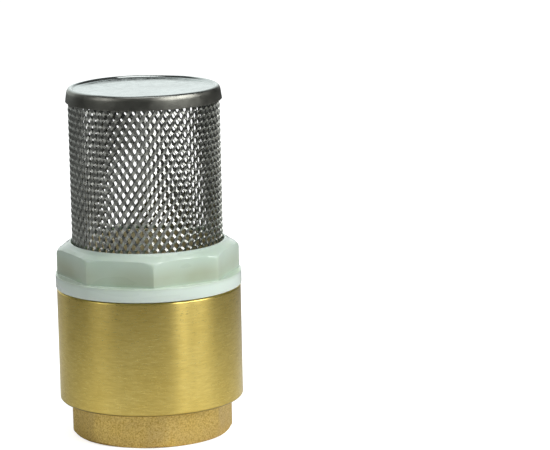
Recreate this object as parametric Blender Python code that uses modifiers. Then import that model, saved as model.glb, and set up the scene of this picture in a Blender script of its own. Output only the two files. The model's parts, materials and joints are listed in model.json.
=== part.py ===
"""Foot valve for a one-inch suction pipe: a brass spring check valve with a stainless strainer.

Metres, +Z up along the valve's axis. It stands on its outlet, and the origin is the centre of the
outlet face. Water enters through the strainer, pushes the poppet down off its seat against the
spring, passes the stem guide and leaves through the outlet's pipe thread.
"""

import math

import bmesh
import bpy
from mathutils import Matrix, Vector

MM = 0.001

# ---------------------------------------------------------------- driving dimensions

# Outlet: a female G1 pipe thread in an octagonal neck whose corners are turned round.
PIPE_PITCH = 25.4 / 11 * MM
THREAD_DEPTH = 0.640327 * PIPE_PITCH
OUTLET_MAJOR_R = 33.249 / 2 * MM
OUTLET_THREAD_L = 9.6 * MM
NECK_H = 9.0 * MM
NECK_WALL = 3.08 * MM
NECK_CORNER = 0.8 * MM
NECK_CHAMFER = 0.8 * MM
NECK_TURN = math.radians(-86)

# Barrel: the nut screws into its upper end with a G1 1/4 size thread.
NUT_MAJOR_R = 41.910 / 2 * MM
BARREL_H = 29.0 * MM
BARREL_WALL = 2.545 * MM
BARREL_CHAMFER = 0.5 * MM
CHAMBER_WALL = 3.3 * MM
FLOW_BORE_R = 14.6 * MM
WEB_T = 1.5 * MM
RELIEF_W = 1.4 * MM
RELIEF_DEPTH = 0.2 * MM
RELIEF_EDGE = 0.3 * MM
COUNTERBORE_DEPTH = 1.6 * MM
COUNTERBORE_STEP = 0.55 * MM

# O-ring under the nut's flange.
O_RING_SECTION_R = 0.72 * MM
O_RING_SQUEEZE = 0.1 * MM

# Strainer nut.
NUT_TURN = math.radians(-87)
NUT_SKIRT_L = 9.3 * MM
NUT_SKIRT_WALL = 2.5 * MM
FLANGE_T = 3.5 * MM
FLANGE_OVERHANG = 0.25 * MM
FLANGE_ROUND = 1.1 * MM
OCTAGON_H = 7.5 * MM
SHOULDER_DROP = 1.15 * MM
SHOULDER_EDGE_W = 0.45 * MM
SHOULDER_EDGE_H = 0.85 * MM
COLLAR_H = 0.7 * MM
COLLAR_STEP = 0.9 * MM
COLLAR_RIM_W = 0.42 * MM
POCKET_WALL = 2.05 * MM
POCKET_DEPTH = 3.0 * MM
POCKET_LIP = 1.1 * MM
POCKET_LIP_DROP = 0.8 * MM
SEAT_WEB_T = 2.2 * MM
SEAT_BEAD_H = 0.3 * MM
SEAT_BEAD_W = 0.9 * MM
THROAT_R = 13.7 * MM
HUB_ABOVE_WEB = 1.8 * MM
NUT_HUB_H = 7.0 * MM

# Strainer.
MESH_R = 19.3 * MM
MESH_T = 0.5 * MM
MESH_H = 41.0 * MM
MESH_COLUMNS = 18
MESH_CELL_ROWS = 3
MESH_STRAND = 1.95 * MM
MESH_SELVEDGE = 3.0 * MM
LID_T = 0.3 * MM
LID_SKIRT_H = 3.6 * MM
LID_FLARE = 0.05 * MM
LID_EDGE_R = 1.2 * MM
LID_CREST_W = 0.7 * MM
LID_CREST_DROP = 0.1 * MM
LID_SLOPE_W = 1.6 * MM
LID_RECESS = 0.8 * MM

# Poppet, its stems and the guides they run in.
LIFT = 6.5 * MM
STEM_R = 2.5 * MM
STEM_TIP_CHAMFER = 0.5 * MM
STEM_CLEARANCE = 0.25 * MM
HUB_WALL = 1.65 * MM
SEAL_T = 2.0 * MM
SEAL_OVERLAP = 1.7 * MM
SEAL_HOLE_R = 4.2 * MM
BASE_T = 1.4 * MM
BASE_INSET = 0.6 * MM
BASE_LIP_H = 0.5 * MM
BASE_LIP_W = 2.0 * MM
HEAD_T = 1.2 * MM
HEAD_CLEARANCE = 0.8 * MM
HEAD_CONE_H = 2.4 * MM
SPIGOT_R = 1.6 * MM
SPIGOT_L = 5.0 * MM
SPIGOT_CLEARANCE = 0.15 * MM
UPPER_STEM_L = 11.2 * MM
STEM_ENGAGEMENT = 3.3 * MM

# Stem guide.
GUIDE_FLANGE_T = 1.5 * MM
GUIDE_PASS_MARGIN = 1.9 * MM
GUIDE_RING_W = 1.2 * MM
GUIDE_SKIRT_H = 1.8 * MM
GUIDE_HUB_RISE = 1.7 * MM
GUIDE_HUB_DROP = 0.6 * MM
GUIDE_RIBS = 4
NUT_RIBS = 3
RIB_T = 1.8 * MM
RIB_H = 4.0 * MM
RIB_INSET = 0.15 * MM
SPRING_SEAT_MARGIN = 0.6 * MM

# Return spring: closed ends, one dead coil at each end.
WIRE_R = 0.45 * MM
SPRING_INNER_MARGIN = 0.5 * MM
SPRING_COILS = 5
CLOSED_COIL_GAP = 0.045 * MM

# Fits.
CONTACT_GAP = 0.2 * MM
FLANGE_GAP = 0.3 * MM
FIT_CLEARANCE = 0.25 * MM
LID_CLEARANCE = 0.2 * MM
THREAD_CLEARANCE = 0.2 * MM
THREAD_FLANK_CLEARANCE = 0.36 * MM
THREAD_CREST = 0.2
THREAD_ROOT = 0.15
CUT_PAST = 1.0 * MM
SUNK = 0.4 * MM

ROUND_STEPS = 48
BORE_STEPS = 32
SMALL_STEPS = 16
COIL_STEPS = 14
ARC_STEPS = 3
OCTAGON_HALF_ANGLE = math.pi / 8

# ---------------------------------------------------------------- derived sizes

OUTLET_MINOR_R = OUTLET_MAJOR_R - THREAD_DEPTH
NUT_MINOR_R = NUT_MAJOR_R - THREAD_DEPTH
BARREL_R = NUT_MAJOR_R + BARREL_WALL
BODY_TOP = NECK_H + BARREL_H
CHAMBER_R = BARREL_R - CHAMBER_WALL
COUNTERBORE_R = NUT_MAJOR_R + COUNTERBORE_STEP
NECK_APOTHEM = OUTLET_MAJOR_R + NECK_WALL
NECK_R = NECK_APOTHEM + NECK_CORNER
WEB_BOTTOM = OUTLET_THREAD_L + RELIEF_W
LEDGE_Z = WEB_BOTTOM + WEB_T
GUIDE_POCKET_R = NUT_MINOR_R - GUIDE_PASS_MARGIN

FLANGE_BOTTOM = BODY_TOP + FLANGE_GAP
FLANGE_TOP = FLANGE_BOTTOM + FLANGE_T
FLANGE_R = BARREL_R + FLANGE_OVERHANG
SKIRT_BOTTOM = FLANGE_BOTTOM - NUT_SKIRT_L
NUT_CORE_R = NUT_MINOR_R - THREAD_CLEARANCE
SKIRT_BORE_R = NUT_CORE_R - NUT_SKIRT_WALL
UNDERCUT_R = NUT_MAJOR_R - 2 * O_RING_SECTION_R + O_RING_SQUEEZE
POCKET_OUTER_R = MESH_R + FIT_CLEARANCE
POCKET_INNER_R = MESH_R - MESH_T - FIT_CLEARANCE
NUT_APOTHEM = POCKET_OUTER_R + POCKET_WALL
NUT_CORNER_R = NUT_APOTHEM / math.cos(OCTAGON_HALF_ANGLE)
OCTAGON_TOP = FLANGE_TOP + OCTAGON_H
COLLAR_TOP = OCTAGON_TOP + COLLAR_H
POCKET_FLOOR = COLLAR_TOP - POCKET_DEPTH
SEAT_Z = SKIRT_BOTTOM - SEAT_BEAD_H
SEAT_R = THROAT_R + SEAT_BEAD_W

# The female thread runs from a relief groove above the chamber up to the O-ring's counterbore.
NUT_RELIEF_TOP = SKIRT_BOTTOM
NUT_RELIEF_BOTTOM = NUT_RELIEF_TOP - RELIEF_W
NUT_THREAD_START = NUT_RELIEF_BOTTOM + RELIEF_W / 2
NUT_THREAD_TOP = BODY_TOP - COUNTERBORE_DEPTH

MESH_BOTTOM = POCKET_FLOOR + CONTACT_GAP
MESH_TOP = MESH_BOTTOM + MESH_H
LID_INNER_R = MESH_R + LID_CLEARANCE
LID_TOP = MESH_TOP + CONTACT_GAP + LID_T + LID_RECESS
LID_BOTTOM = LID_TOP - LID_SKIRT_H

SEAL_TOP = SEAT_Z - CONTACT_GAP
SEAL_BOTTOM = SEAL_TOP - SEAL_T
SEAL_R = SEAT_R + SEAL_OVERLAP
BASE_TOP = SEAL_BOTTOM - CONTACT_GAP
BASE_BOTTOM = BASE_TOP - BASE_T
HEAD_BOTTOM = SEAL_TOP + CONTACT_GAP
HEAD_TOP = HEAD_BOTTOM + HEAD_T
HEAD_R = THROAT_R - HEAD_CLEARANCE
GUIDE_BORE_R = STEM_R + STEM_CLEARANCE
HUB_R = GUIDE_BORE_R + HUB_WALL
BOSS_R = max(HUB_R, SPIGOT_R + SPIGOT_CLEARANCE + HUB_WALL)

GUIDE_SEAT_Z = LEDGE_Z + CONTACT_GAP
GUIDE_SKIRT_R = FLOW_BORE_R - FIT_CLEARANCE
GUIDE_SKIRT_BOTTOM = GUIDE_SEAT_Z - GUIDE_SKIRT_H
GUIDE_HUB_TOP = GUIDE_SEAT_Z + GUIDE_HUB_RISE
GUIDE_HUB_BOTTOM = GUIDE_SKIRT_BOTTOM - GUIDE_HUB_DROP
BOSS_BOTTOM = GUIDE_HUB_TOP + CONTACT_GAP + LIFT
STEM_TIP = GUIDE_HUB_TOP - STEM_ENGAGEMENT

SPRING_R = BOSS_R + SPRING_INNER_MARGIN + WIRE_R
SPRING_BOTTOM = GUIDE_SEAT_Z + CONTACT_GAP
SPRING_TOP = BASE_BOTTOM - CONTACT_GAP

NUT_HUB_BOTTOM = SKIRT_BOTTOM + SEAT_WEB_T + HUB_ABOVE_WEB
NUT_HUB_TOP = NUT_HUB_BOTTOM + NUT_HUB_H

# ---------------------------------------------------------------- scene and helpers

for old in list(bpy.data.objects):
    bpy.data.objects.remove(old)

PARTS = bpy.data.collections.new("foot_valve")
CUTTERS = bpy.data.collections.new("cutters")
bpy.context.scene.collection.children.link(PARTS)
bpy.context.scene.collection.children.link(CUTTERS)


def material(name, color, metallic, roughness):
    made = bpy.data.materials.new(name)
    made.use_nodes = True
    shader = made.node_tree.nodes["Principled BSDF"]
    shader.inputs["Base Color"].default_value = (*color, 1.0)
    shader.inputs["Metallic"].default_value = metallic
    shader.inputs["Roughness"].default_value = roughness
    return made


BRASS = material("brass", (0.72, 0.56, 0.24), 1.0, 0.32)
NYLON = material("natural_nylon", (0.74, 0.82, 0.72), 0.0, 0.35)
STEEL_MESH = material("stainless_mesh", (0.50, 0.49, 0.46), 1.0, 0.35)
STEEL_LID = material("stainless_lid", (0.62, 0.63, 0.61), 1.0, 0.18)
STEEL_WIRE = material("spring_steel", (0.60, 0.60, 0.58), 1.0, 0.25)
POPPET_NYLON = material("poppet_nylon", (0.82, 0.82, 0.76), 0.0, 0.42)
GUIDE_NYLON = material("guide_nylon", (0.80, 0.81, 0.75), 0.0, 0.42)
SEAL_RUBBER = material("seal_rubber", (0.03, 0.03, 0.03), 0.0, 0.6)
RING_RUBBER = material("ring_rubber", (0.025, 0.025, 0.025), 0.0, 0.5)


def group(name, z):
    """An empty on the valve's axis that carries one moving group."""
    empty = bpy.data.objects.new(name, None)
    empty.location = (0.0, 0.0, z)
    PARTS.objects.link(empty)
    return empty


HOUSING = group("housing", 0.0)
STRAINER = group("strainer", BODY_TOP)
POPPET = group("poppet", SEAT_Z)


def as_part(obj, paint, carrier):
    """Gives the object its material and hangs it on its group, with its origin on the axis."""
    obj.data.materials.clear()
    obj.data.materials.append(paint)
    for other in obj.users_collection:
        other.objects.unlink(obj)
    PARTS.objects.link(obj)
    obj.parent = carrier
    obj.matrix_parent_inverse = Matrix.Translation(-carrier.location)
    if obj.type == "MESH":
        obj.data.shade_smooth()
        obj.data.set_sharp_from_angle(angle=math.radians(35))
    return obj


def as_cutter(obj):
    for other in obj.users_collection:
        other.objects.unlink(obj)
    CUTTERS.objects.link(obj)
    obj.hide_render = True
    obj.display_type = "WIRE"
    return obj


def new_object(name, bm):
    mesh = bpy.data.meshes.new(name)
    bm.to_mesh(mesh)
    bm.free()
    obj = bpy.data.objects.new(name, mesh)
    bpy.context.scene.collection.objects.link(obj)
    return obj


def arc(center_r, center_z, radius, start_deg, end_deg, steps=ARC_STEPS):
    """Points of an arc in the (r, z) half-plane, both ends included."""
    angles = [math.radians(start_deg + (end_deg - start_deg) * i / steps) for i in range(steps + 1)]
    return [(center_r + radius * math.cos(a), center_z + radius * math.sin(a)) for a in angles]


def turned(name, profile, steps=ROUND_STEPS, ring=False):
    """A turned piece from an (r, z) profile that runs down its outer side."""
    bm = bmesh.new()
    verts = [bm.verts.new((r, 0.0, z)) for r, z in profile]
    for a, b in zip(verts, verts[1:]):
        bm.edges.new((a, b))
    if ring:
        bm.edges.new((verts[-1], verts[0]))
    obj = new_object(name, bm)
    screw = obj.modifiers.new("turn", "SCREW")
    screw.axis = "Z"
    screw.steps = steps
    screw.render_steps = steps
    screw.use_merge_vertices = True
    screw.merge_threshold = 1e-6
    return obj


def disc(name, radius, bottom, top, steps=ROUND_STEPS):
    return turned(name, [(0.0, top), (radius, top), (radius, bottom), (0.0, bottom)], steps)


def octagon(name, apothem, bottom, top, turn):
    """An octagonal prism around the axis, with one corner at the angle turn from +X."""
    bm = bmesh.new()
    radius = apothem / math.cos(OCTAGON_HALF_ANGLE)
    bmesh.ops.create_cone(
        bm, cap_ends=True, segments=8, radius1=radius, radius2=radius, depth=top - bottom
    )
    obj = new_object(name, bm)
    obj.location = (0.0, 0.0, (top + bottom) / 2)
    obj.rotation_euler = (0.0, 0.0, turn)
    return obj


def helix(name, inner_r, outer_r, inner_w, outer_w, start_z, end_z):
    """A right-hand thread ridge or groove: a trapezoid carried round the axis at the pipe pitch."""
    bm = bmesh.new()
    corners = (
        (inner_r, -inner_w / 2),
        (outer_r, -outer_w / 2),
        (outer_r, outer_w / 2),
        (inner_r, inner_w / 2),
    )
    section = bm.faces.new([bm.verts.new((r, 0.0, start_z + z)) for r, z in corners])
    steps = round((end_z - start_z) / PIPE_PITCH * BORE_STEPS)
    bmesh.ops.spin(
        bm,
        geom=[section, *section.edges, *section.verts],
        cent=(0.0, 0.0, 0.0),
        axis=(0.0, 0.0, 1.0),
        dvec=(0.0, 0.0, PIPE_PITCH / BORE_STEPS),
        angle=2 * math.pi * steps / BORE_STEPS,
        steps=steps,
        use_merge=False,
        use_normal_flip=False,
        use_duplicate=False,
    )
    bmesh.ops.holes_fill(bm, edges=[e for e in bm.edges if e.is_boundary], sides=4)
    bmesh.ops.recalc_face_normals(bm, faces=bm.faces)
    thread = new_object(name, bm)
    thread.rotation_euler = (0.0, 0.0, math.pi / BORE_STEPS)
    return thread


def combine(obj, other, operation):
    """Cuts, joins or intersects with a helper object, which stays editable."""
    boolean = obj.modifiers.new(other.name, "BOOLEAN")
    boolean.operation = operation
    boolean.solver = "EXACT"
    boolean.object = as_cutter(other)
    return obj


def ribs(obj, count, inner_r, outer_r, bottom, top):
    """Joins flat radial ribs to the object."""
    for i in range(count):
        bm = bmesh.new()
        bmesh.ops.create_cube(bm, size=1.0)
        size = Vector((outer_r - inner_r, RIB_T, top - bottom))
        bmesh.ops.scale(bm, vec=size, verts=bm.verts)
        bmesh.ops.translate(bm, vec=((inner_r + outer_r) / 2, 0.0, 0.0), verts=bm.verts)
        rib = new_object(f"{obj.name}_rib_{i + 1}", bm)
        rib.location = (0.0, 0.0, (top + bottom) / 2)
        rib.rotation_euler = (0.0, 0.0, 2 * math.pi * i / count)
        combine(obj, rib, "UNION")
    return obj


# ---------------------------------------------------------------- brass body


def body_hollow():
    """Everything bored and cast out of the body, from the outlet face up to the nut's end."""
    outlet_mouth_r = OUTLET_MAJOR_R + RELIEF_DEPTH
    mouth_chamfer = outlet_mouth_r - OUTLET_MINOR_R
    nut_relief_r = NUT_MAJOR_R + RELIEF_DEPTH
    pocket_top = GUIDE_SEAT_Z + GUIDE_FLANGE_T + CONTACT_GAP
    chamber_bottom = pocket_top + CHAMBER_R - GUIDE_POCKET_R
    upward = [
        (0.0, -CUT_PAST),
        (outlet_mouth_r, -CUT_PAST),
        (outlet_mouth_r, 0.0),
        (OUTLET_MINOR_R, mouth_chamfer),
        (OUTLET_MINOR_R, OUTLET_THREAD_L - mouth_chamfer),
        (outlet_mouth_r, OUTLET_THREAD_L),
        (outlet_mouth_r, WEB_BOTTOM),
        (FLOW_BORE_R, WEB_BOTTOM),
        (FLOW_BORE_R, LEDGE_Z),
        (GUIDE_POCKET_R, LEDGE_Z),
        (GUIDE_POCKET_R, pocket_top),
        (CHAMBER_R, chamber_bottom),
        (CHAMBER_R, NUT_RELIEF_BOTTOM - RELIEF_EDGE),
        (nut_relief_r, NUT_RELIEF_BOTTOM),
        (nut_relief_r, NUT_RELIEF_TOP),
        (NUT_MINOR_R, NUT_RELIEF_TOP + RELIEF_EDGE),
        (NUT_MINOR_R, NUT_THREAD_TOP),
        (COUNTERBORE_R, NUT_THREAD_TOP),
        (COUNTERBORE_R, BODY_TOP + CUT_PAST),
        (0.0, BODY_TOP + CUT_PAST),
    ]
    return turned("body_hollow", upward[::-1], BORE_STEPS)


def female_thread(name, major_r, start_z, end_z):
    mouth_w = PIPE_PITCH * (1 - THREAD_CREST)
    root_w = PIPE_PITCH * THREAD_ROOT
    flank = (mouth_w - root_w) / 2 / THREAD_DEPTH
    inner_r = major_r - THREAD_DEPTH - SUNK
    return helix(name, inner_r, major_r, mouth_w + 2 * SUNK * flank, root_w, start_z, end_z)


def valve_body():
    barrel = turned(
        "valve_body",
        [
            (0.0, BODY_TOP),
            (BARREL_R, BODY_TOP),
            (BARREL_R, NECK_H + BARREL_CHAMFER),
            (BARREL_R - BARREL_CHAMFER, NECK_H),
            (0.0, NECK_H),
        ],
    )
    neck = turned(
        "neck",
        [
            (0.0, NECK_H + SUNK),
            (NECK_R, NECK_H + SUNK),
            (NECK_R, NECK_CHAMFER),
            (NECK_R - NECK_CHAMFER, 0.0),
            (0.0, 0.0),
        ],
    )
    flats = octagon("neck_flats", NECK_APOTHEM, -CUT_PAST, NECK_H + CUT_PAST, NECK_TURN)
    combine(neck, flats, "INTERSECT")
    combine(barrel, neck, "UNION")
    combine(barrel, body_hollow(), "DIFFERENCE")
    outlet_end = WEB_BOTTOM - RELIEF_W / 2
    outlet = female_thread("outlet_thread", OUTLET_MAJOR_R, -PIPE_PITCH, outlet_end)
    combine(barrel, outlet, "DIFFERENCE")
    upper_end = NUT_THREAD_TOP + PIPE_PITCH / 2
    upper = female_thread("body_thread", NUT_MAJOR_R, NUT_THREAD_START, upper_end)
    combine(barrel, upper, "DIFFERENCE")
    return as_part(barrel, BRASS, HOUSING)


# ---------------------------------------------------------------- stem guide


def stem_guide():
    """A flanged ring on the body's ledge, with ribs that carry the hub for the lower stem."""
    flange_r = GUIDE_POCKET_R - FIT_CLEARANCE
    inner_r = GUIDE_SKIRT_R - GUIDE_RING_W
    ring = turned(
        "stem_guide",
        [
            (inner_r, GUIDE_SEAT_Z + GUIDE_FLANGE_T),
            (flange_r, GUIDE_SEAT_Z + GUIDE_FLANGE_T),
            (flange_r, GUIDE_SEAT_Z),
            (GUIDE_SKIRT_R, GUIDE_SEAT_Z),
            (GUIDE_SKIRT_R, GUIDE_SKIRT_BOTTOM),
            (inner_r, GUIDE_SKIRT_BOTTOM),
        ],
        BORE_STEPS,
        ring=True,
    )
    seat_r = SPRING_R + WIRE_R + SPRING_SEAT_MARGIN
    hub = turned(
        "guide_hub",
        [
            (0.0, GUIDE_HUB_TOP),
            (HUB_R, GUIDE_HUB_TOP),
            (HUB_R, GUIDE_SEAT_Z),
            (seat_r, GUIDE_SEAT_Z),
            (seat_r, GUIDE_SKIRT_BOTTOM),
            (HUB_R, GUIDE_HUB_BOTTOM),
            (0.0, GUIDE_HUB_BOTTOM),
        ],
        SMALL_STEPS,
    )
    rib_inner_r = HUB_R - HUB_WALL / 2
    rib_bottom = GUIDE_SKIRT_BOTTOM + RIB_INSET
    ribs(ring, GUIDE_RIBS, rib_inner_r, inner_r + SUNK, rib_bottom, GUIDE_SEAT_Z - RIB_INSET)
    combine(ring, hub, "UNION")
    bore_bottom = GUIDE_HUB_BOTTOM - CUT_PAST
    bore = disc("guide_bore", GUIDE_BORE_R, bore_bottom, GUIDE_HUB_TOP + CUT_PAST, SMALL_STEPS)
    combine(ring, bore, "DIFFERENCE")
    return as_part(ring, GUIDE_NYLON, HOUSING)


# ---------------------------------------------------------------- strainer nut


def nut_head():
    """The octagon with its turned shoulder and the collar round the foot of the strainer."""
    edge_top = OCTAGON_TOP - SHOULDER_DROP
    head = turned(
        "nut_head",
        [
            (0.0, COLLAR_TOP),
            (POCKET_OUTER_R + COLLAR_RIM_W, COLLAR_TOP),
            (NUT_APOTHEM - COLLAR_STEP, OCTAGON_TOP),
            (NUT_CORNER_R - SHOULDER_EDGE_W, edge_top),
            (NUT_CORNER_R, edge_top - SHOULDER_EDGE_H),
            (NUT_CORNER_R, FLANGE_TOP - SUNK),
            (0.0, FLANGE_TOP - SUNK),
        ],
    )
    flats_bottom = FLANGE_TOP - CUT_PAST
    flats = octagon("nut_flats", NUT_APOTHEM, flats_bottom, COLLAR_TOP + CUT_PAST, NUT_TURN)
    return combine(head, flats, "INTERSECT")


def nut_hollow():
    """The nut's inside: the strainer's pocket, the cup below it, the bore and the seat's throat."""
    cup_r = POCKET_INNER_R - POCKET_LIP
    cup_bottom = POCKET_FLOOR - POCKET_LIP - abs(cup_r - SKIRT_BORE_R)
    web_top = SKIRT_BOTTOM + SEAT_WEB_T
    lip_top = COLLAR_TOP - POCKET_LIP_DROP
    downward = [
        (0.0, COLLAR_TOP + CUT_PAST),
        (POCKET_OUTER_R, COLLAR_TOP + CUT_PAST),
        (POCKET_OUTER_R, POCKET_FLOOR),
        (POCKET_INNER_R, POCKET_FLOOR),
        (POCKET_INNER_R, lip_top),
        (cup_r, lip_top),
        (cup_r, POCKET_FLOOR - POCKET_LIP),
        (SKIRT_BORE_R, cup_bottom),
        (SKIRT_BORE_R, web_top),
        (THROAT_R, web_top),
        (THROAT_R, SEAT_Z - CUT_PAST),
        (0.0, SEAT_Z - CUT_PAST),
    ]
    return turned("nut_hollow", downward)


def strainer_nut():
    bead_r = SEAT_R + SEAT_BEAD_H
    undercut_bottom = NUT_THREAD_TOP + CONTACT_GAP
    nut = turned(
        "strainer_nut",
        [
            (0.0, FLANGE_TOP),
            *arc(FLANGE_R - FLANGE_ROUND, FLANGE_TOP - FLANGE_ROUND, FLANGE_ROUND, 90, 0),
            (FLANGE_R, FLANGE_BOTTOM),
            (UNDERCUT_R, FLANGE_BOTTOM),
            (UNDERCUT_R, undercut_bottom + UNDERCUT_R - NUT_CORE_R),
            (NUT_CORE_R, undercut_bottom),
            (NUT_CORE_R, SKIRT_BOTTOM + RELIEF_EDGE),
            (NUT_CORE_R - RELIEF_EDGE, SKIRT_BOTTOM),
            (bead_r, SKIRT_BOTTOM),
            (SEAT_R, SEAT_Z),
            (0.0, SEAT_Z),
        ],
    )
    combine(nut, nut_head(), "UNION")
    combine(nut, nut_hollow(), "DIFFERENCE")
    foot_w = PIPE_PITCH * (1 - THREAD_CREST) - THREAD_FLANK_CLEARANCE
    crest_w = PIPE_PITCH * THREAD_ROOT
    flank = (foot_w - crest_w) / 2 / THREAD_DEPTH
    ridge = helix(
        "nut_thread",
        NUT_CORE_R - SUNK,
        NUT_MAJOR_R - THREAD_CLEARANCE,
        foot_w + 2 * SUNK * flank,
        crest_w,
        NUT_THREAD_START + PIPE_PITCH,
        NUT_THREAD_TOP - PIPE_PITCH / 2,
    )
    combine(nut, ridge, "UNION")
    hub = turned(
        "nut_hub",
        [
            (GUIDE_BORE_R, NUT_HUB_TOP),
            (HUB_R, NUT_HUB_TOP),
            (HUB_R, NUT_HUB_BOTTOM),
            (GUIDE_BORE_R, NUT_HUB_BOTTOM),
        ],
        SMALL_STEPS,
        ring=True,
    )
    rib_bottom = (NUT_HUB_BOTTOM + NUT_HUB_TOP - RIB_H) / 2
    ribs(hub, NUT_RIBS, HUB_R - HUB_WALL / 2, SKIRT_BORE_R + SUNK, rib_bottom, rib_bottom + RIB_H)
    combine(nut, hub, "UNION")
    return as_part(nut, NYLON, STRAINER)


def nut_o_ring():
    center_r = UNDERCUT_R + CONTACT_GAP / 2 + O_RING_SECTION_R
    bpy.ops.mesh.primitive_torus_add(
        major_radius=center_r,
        minor_radius=O_RING_SECTION_R,
        major_segments=BORE_STEPS,
        minor_segments=8,
        location=(0.0, 0.0, FLANGE_BOTTOM - CONTACT_GAP / 2 - O_RING_SECTION_R),
    )
    ring = bpy.context.active_object
    ring.name = "nut_o_ring"
    return as_part(ring, RING_RUBBER, STRAINER)


# ---------------------------------------------------------------- strainer


def strainer_mesh():
    """Expanded metal: staggered diamonds between two plain selvedges, rolled into a tube."""
    middle_r = MESH_R - MESH_T / 2
    field_bottom = MESH_BOTTOM + MESH_SELVEDGE
    cell_h = (MESH_H - 2 * MESH_SELVEDGE) / (MESH_CELL_ROWS + 0.5)
    rows = 2 * MESH_CELL_ROWS
    pitch = 2 * math.pi * middle_r / MESH_COLUMNS
    slant = math.hypot(pitch, cell_h)
    half_w = pitch / 2 - MESH_STRAND / 2 * slant / cell_h
    half_h = cell_h / 2 - MESH_STRAND / 2 * slant / pitch
    bm = bmesh.new()

    def point(column, z):
        angle = 2 * math.pi * column / MESH_COLUMNS
        return bm.verts.new((middle_r * math.cos(angle), middle_r * math.sin(angle), z))

    holes = []
    for row in range(rows):
        z = field_bottom + cell_h / 2 * (row + 1)
        shift = 0.5 * (row % 2)
        width = half_w / pitch
        holes.append(
            [
                {
                    "left": point(i + shift - width, z),
                    "right": point(i + shift + width, z),
                    "low": point(i + shift, z - half_h),
                    "high": point(i + shift, z + half_h),
                }
                for i in range(MESH_COLUMNS)
            ]
        )

    def hole(row, column):
        return holes[row][column % MESH_COLUMNS]

    for row in range(rows):
        shift = row % 2
        for i in range(MESH_COLUMNS):
            here, right = hole(row, i), hole(row, i + 1)
            above = hole(row + 1, i + shift) if row + 1 < rows else None
            below = hole(row - 1, i + shift) if row > 0 else None
            if above:
                bm.faces.new((here["high"], here["right"], above["low"], above["left"]))
                bm.faces.new((above["right"], above["low"], right["left"], right["high"]))
            upper = above["low"] if above else None
            lower = below["high"] if below else None
            bond = [v for v in (lower, right["left"], upper, here["right"]) if v]
            bm.faces.new(bond)

    def selvedge(row, key, edge_z):
        """The plain band between the outermost holes and an end of the tube."""
        rim = [point(i / 2 + 0.5 * (row % 2), edge_z) for i in range(2 * MESH_COLUMNS)]
        for i in range(MESH_COLUMNS):
            here, right = hole(row, i), hole(row, i + 1)
            first, middle, last = rim[2 * i], rim[2 * i + 1], rim[(2 * i + 2) % len(rim)]
            bm.faces.new((first, middle, here["right"], here[key]))
            bm.faces.new((middle, last, right[key], right["left"]))
            bm.faces.new((middle, right["left"], here["right"]))

    selvedge(0, "low", MESH_BOTTOM)
    selvedge(rows - 1, "high", MESH_TOP)
    bmesh.ops.recalc_face_normals(bm, faces=bm.faces)
    tube = new_object("strainer_mesh", bm)
    sheet = tube.modifiers.new("sheet", "SOLIDIFY")
    sheet.thickness = MESH_T
    sheet.offset = 0.0
    return as_part(tube, STEEL_MESH, STRAINER)


def strainer_lid():
    """A pressed dish: recessed floor, rounded crest and a skirt that grips the top of the tube."""
    skirt_r = LID_INNER_R + LID_T
    crest_r = skirt_r - LID_EDGE_R
    floor_r = crest_r - LID_CREST_W - LID_SLOPE_W
    floor_z = LID_TOP - LID_RECESS
    lid = turned(
        "strainer_lid",
        [
            (0.0, floor_z),
            (floor_r, floor_z),
            (floor_r + LID_SLOPE_W, LID_TOP - LID_CREST_DROP),
            *arc(crest_r, LID_TOP - LID_EDGE_R, LID_EDGE_R, 90, 0),
            (skirt_r + LID_FLARE / 2, (LID_TOP + LID_BOTTOM) / 2),
            (skirt_r + LID_FLARE, LID_BOTTOM),
        ],
    )
    sheet = lid.modifiers.new("sheet", "SOLIDIFY")
    sheet.thickness = LID_T
    sheet.offset = -1.0
    sheet.use_even_offset = True
    return as_part(lid, STEEL_LID, STRAINER)


# ---------------------------------------------------------------- poppet


def poppet_seal():
    ring = turned(
        "poppet_seal",
        [
            (SEAL_HOLE_R, SEAL_TOP),
            (SEAL_R, SEAL_TOP),
            (SEAL_R, SEAL_BOTTOM),
            (SEAL_HOLE_R, SEAL_BOTTOM),
        ],
        BORE_STEPS,
        ring=True,
    )
    return as_part(ring, SEAL_RUBBER, POPPET)


def poppet_base():
    """The downstream half: plate, spring boss, socket for the other half and the lower stem."""
    plate_r = SEAL_R - BASE_INSET
    socket_bottom = BASE_TOP - SPIGOT_L - CONTACT_GAP
    socket_r = SPIGOT_R + SPIGOT_CLEARANCE
    base = turned(
        "poppet_base",
        [
            (0.0, socket_bottom),
            (socket_r, socket_bottom),
            (socket_r, BASE_TOP),
            (plate_r, BASE_TOP),
            (plate_r, BASE_BOTTOM - BASE_LIP_H),
            (plate_r - BASE_LIP_W, BASE_BOTTOM - BASE_LIP_H),
            (plate_r - BASE_LIP_W - BASE_LIP_H, BASE_BOTTOM),
            (BOSS_R, BASE_BOTTOM),
            (BOSS_R, BOSS_BOTTOM + BOSS_R - STEM_R),
            (STEM_R, BOSS_BOTTOM),
            (STEM_R, STEM_TIP + STEM_TIP_CHAMFER),
            (STEM_R - STEM_TIP_CHAMFER, STEM_TIP),
            (0.0, STEM_TIP),
        ],
        BORE_STEPS,
    )
    return as_part(base, POPPET_NYLON, POPPET)


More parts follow.
